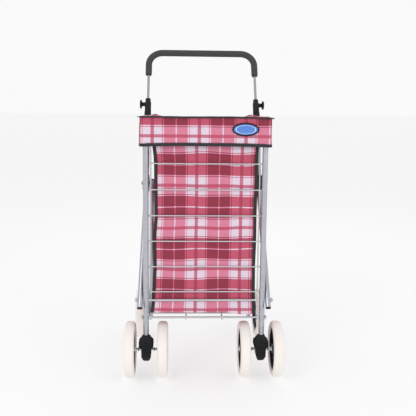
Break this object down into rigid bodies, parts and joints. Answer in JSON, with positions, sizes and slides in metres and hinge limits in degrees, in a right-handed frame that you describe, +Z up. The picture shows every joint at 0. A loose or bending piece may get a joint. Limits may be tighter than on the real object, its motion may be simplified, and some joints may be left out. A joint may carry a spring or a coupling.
{
  "type": "shopping trolley",
  "caption": "Folding shopping trolley with a plaid cloth bag on a wire-grid frame, an oval badge on the lid flap, twin-wheel casters, rear wheels and a telescoping push handle",
  "frame": {"origin": "on the floor under the middle of the trolley's bounding box", "axes": "+Z up; -Y the front, with the wire grid, the casters and the flap; +X the trolley's right as seen from the front; at rest the trolley stands open, casters trailing, handle at mid height, lid shut"},
  "size_m": [0.4636, 0.514, 0.9728],
  "materials": {
    "silver_tube": "satin silver paint on steel tube",
    "wire": "bright silver plated wire",
    "zinc_steel": "zinc plated rods, pins and nuts",
    "chrome_rod": "polished chrome rod",
    "black_plastic": "moulded black nylon, lightly grained",
    "grip_foam": "black closed-cell foam sleeve",
    "cream_tyre": "cream foam-rubber tyre, slightly mottled",
    "black_hub": "moulded black wheel hub",
    "plaid_cloth": "woven plaid in maroon, rose and off-white",
    "black_binding": "black woven tape and piping",
    "badge_rim": "raised black plastic rim",
    "badge_face": "glossy plain blue plastic"
  },
  "bodies": {
    "front_frame": {"front_tube_left": "silver_tube", "front_tube_right": "silver_tube", "front_top_rail": "silver_tube", "front_grid": "wire", "pivot_rod": "zinc_steel", "pivot_nut_left": "zinc_steel", "pivot_nut_right": "zinc_steel", "shelf_rod": "zinc_steel", "shelf_nut_left": "zinc_steel", "shelf_nut_right": "zinc_steel", "caster_bush_left": "black_plastic", "caster_bush_right": "black_plastic", "bag": "plaid_cloth"},
    "lid": {"lid_panel": "plaid_cloth", "flap_binding": "black_binding", "lid_piping": "black_binding", "badge_rim": "badge_rim", "badge_face": "badge_face"},
    "shelf": {"shelf": "wire"},
    "handle_frame": {"handle_tube_left": "silver_tube", "handle_tube_right": "silver_tube", "end_plug_left": "black_plastic", "end_plug_right": "black_plastic", "leg_bracket_left": "black_plastic", "leg_bracket_right": "black_plastic", "leg_pin_left": "zinc_steel", "leg_pin_right": "zinc_steel", "clamp_left": "black_plastic", "clamp_right": "black_plastic"},
    "handle": {"handle_rod_left": "chrome_rod", "handle_rod_right": "chrome_rod", "grip": "grip_foam"},
    "rear_legs": {"leg_tube_left": "silver_tube", "leg_tube_right": "silver_tube", "shelf_rest_bar": "silver_tube", "rear_axle": "zinc_steel", "axle_cap_left": "black_plastic", "axle_cap_right": "black_plastic"},
    "clamp_knob_left": {"clamp_knob_left": "black_plastic"},
    "clamp_knob_right": {"clamp_knob_right": "black_plastic"},
    "caster_left": {"caster_yoke_left": "black_plastic", "caster_stem_left": "zinc_steel", "caster_axle_left": "black_plastic"},
    "caster_right": {"caster_yoke_right": "black_plastic", "caster_stem_right": "zinc_steel", "caster_axle_right": "black_plastic"},
    "front_outer_left_wheel": {"front_outer_left_tyre": "cream_tyre", "front_outer_left_hub": "black_hub"},
    "front_inner_left_wheel": {"front_inner_left_tyre": "cream_tyre", "front_inner_left_hub": "black_hub"},
    "front_outer_right_wheel": {"front_outer_right_tyre": "cream_tyre", "front_outer_right_hub": "black_hub"},
    "front_inner_right_wheel": {"front_inner_right_tyre": "cream_tyre", "front_inner_right_hub": "black_hub"},
    "rear_left_wheel": {"rear_left_tyre": "cream_tyre", "rear_left_hub": "black_hub"},
    "rear_right_wheel": {"rear_right_tyre": "cream_tyre", "rear_right_hub": "black_hub"}
  },
  "joints": [
    {"name": "frame_fold", "type": "hinge", "parent": "front_frame", "child": "handle_frame", "pos_m": [0, -0.2, 0.24], "axis": [1, 0, 0], "range_deg": [0, 20], "deforming": ["bag"]},
    {"name": "rear_legs_fold", "type": "hinge", "parent": "handle_frame", "child": "rear_legs", "pos_m": [0, -0.00944, 0.55715], "axis": [1, 0, 0], "range_deg": [-24.8, 0]},
    {"name": "shelf_lift", "type": "hinge", "parent": "front_frame", "child": "shelf", "pos_m": [0, -0.2, 0.188], "axis": [1, 0, 0], "range_deg": [0, 12]},
    {"name": "lid_hinge", "type": "hinge", "parent": "front_frame", "child": "lid", "pos_m": [0, 0.062, 0.76], "axis": [-1, 0, 0], "range_deg": [0, 100]},
    {"name": "handle_slide", "type": "slide", "parent": "handle_frame", "child": "handle", "axis": [0, 0.515, 0.8572], "range_m": [-0.085, 0.08]},
    {"name": "clamp_screw_left", "type": "hinge", "parent": "handle_frame", "child": "clamp_knob_left", "pos_m": [-0.175, 0.13375, 0.79544], "axis": [1, 0, 0], "continuous": true},
    {"name": "clamp_screw_right", "type": "hinge", "parent": "handle_frame", "child": "clamp_knob_right", "pos_m": [0.175, 0.13375, 0.79544], "axis": [1, 0, 0], "continuous": true},
    {"name": "caster_swivel_left", "type": "hinge", "parent": "front_frame", "child": "caster_left", "pos_m": [-0.168, -0.2, 0.133], "axis": [0, 0, 1], "continuous": true},
    {"name": "caster_swivel_right", "type": "hinge", "parent": "front_frame", "child": "caster_right", "pos_m": [0.168, -0.2, 0.133], "axis": [0, 0, 1], "continuous": true},
    {"name": "front_outer_left_spin", "type": "hinge", "parent": "caster_left", "child": "front_outer_left_wheel", "pos_m": [-0.216, -0.175, 0.0825], "axis": [1, 0, 0], "continuous": true},
    {"name": "front_inner_left_spin", "type": "hinge", "parent": "caster_left", "child": "front_inner_left_wheel", "pos_m": [-0.12, -0.175, 0.0825], "axis": [1, 0, 0], "continuous": true},
    {"name": "front_outer_right_spin", "type": "hinge", "parent": "caster_right", "child": "front_outer_right_wheel", "pos_m": [0.216, -0.175, 0.0825], "axis": [1, 0, 0], "continuous": true},
    {"name": "front_inner_right_spin", "type": "hinge", "parent": "caster_right", "child": "front_inner_right_wheel", "pos_m": [0.12, -0.175, 0.0825], "axis": [1, 0, 0], "continuous": true},
    {"name": "rear_left_spin", "type": "hinge", "parent": "rear_legs", "child": "rear_left_wheel", "pos_m": [-0.203, 0.175, 0.0825], "axis": [1, 0, 0], "continuous": true},
    {"name": "rear_right_spin", "type": "hinge", "parent": "rear_legs", "child": "rear_right_wheel", "pos_m": [0.203, 0.175, 0.0825], "axis": [1, 0, 0], "continuous": true}
  ],
  "couplings": [
    {"joint": "rear_legs_fold", "follows": "frame_fold", "ratio": -1.24},
    {"joint": "shelf_lift", "follows": "frame_fold", "ratio": 0.6}
  ]
}
